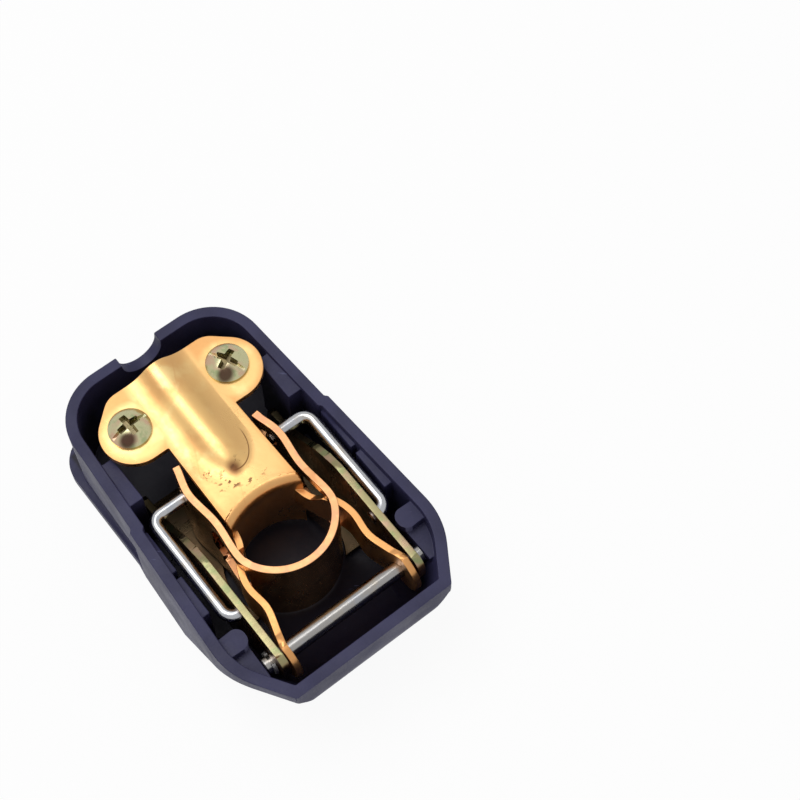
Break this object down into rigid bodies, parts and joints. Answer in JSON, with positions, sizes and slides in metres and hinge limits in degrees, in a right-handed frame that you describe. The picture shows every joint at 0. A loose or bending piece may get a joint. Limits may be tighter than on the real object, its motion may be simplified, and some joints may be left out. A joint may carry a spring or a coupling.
{
  "type": "battery terminal clamp",
  "caption": "Quick-release battery terminal clamp with a plastic lever cover, sheet-metal jaw and band, over-centre wire links and a screwed cable seat.",
  "frame": {"origin": "on the axis of the battery post, in the plane of the cover's flat outside, which the clamp lies on", "axes": "+Z along the post axis out of the open side of the cover, +X towards the free end of the lever, cable leaves along -X"},
  "size_m": [0.0667, 0.0426, 0.0238],
  "materials": {
    "cover_plastic": "satin",
    "bracket_steel": "zinc plated",
    "pin_steel": "zinc plated",
    "ring_steel": "zinc plated",
    "plate_brass": "gold coloured plating",
    "bar_brass": "gold coloured plating",
    "band_copper": "gold coloured plating",
    "screw_steel": "yellow zinc plated",
    "wire_steel": "zinc plated"
  },
  "bodies": {
    "lever": {"cover": "cover_plastic", "lever_bracket": "bracket_steel", "pivot_pin": "pin_steel", "left_retaining_ring": "ring_steel", "right_retaining_ring": "ring_steel"},
    "jaw": {"terminal_plate": "plate_brass", "cable_clamp_bar": "bar_brass", "left_clamp_screw": "screw_steel", "right_clamp_screw": "screw_steel"},
    "band": {"clamp_band": "band_copper"},
    "left_link": {"left_link_wire": "wire_steel"},
    "right_link": {"right_link_wire": "wire_steel"}
  },
  "joints": [
    {"name": "lever_hinge", "type": "hinge", "parent": "lever", "child": "jaw", "pos_m": [0.0173, 0, 0.016], "axis": [0, 1, 0], "range_deg": [0, 60]},
    {"name": "band_slide", "type": "slide", "parent": "jaw", "child": "band", "axis": [1, 0, 0], "range_m": [0, 0.0044]},
    {"name": "left_link_hinge", "type": "hinge", "parent": "lever", "child": "left_link", "pos_m": [0.0083, 0, 0.0182], "axis": [0, 1, 0], "range_deg": [0, 88]},
    {"name": "right_link_hinge", "type": "hinge", "parent": "lever", "child": "right_link", "pos_m": [0.0083, 0, 0.0182], "axis": [0, 1, 0], "range_deg": [0, 88]}
  ],
  "couplings": [
    {"joint": "band_slide", "follows": "lever_hinge", "m_per_rad": 0.0042},
    {"joint": "left_link_hinge", "follows": "lever_hinge", "ratio": 1.4},
    {"joint": "right_link_hinge", "follows": "lever_hinge", "ratio": 1.4}
  ]
}
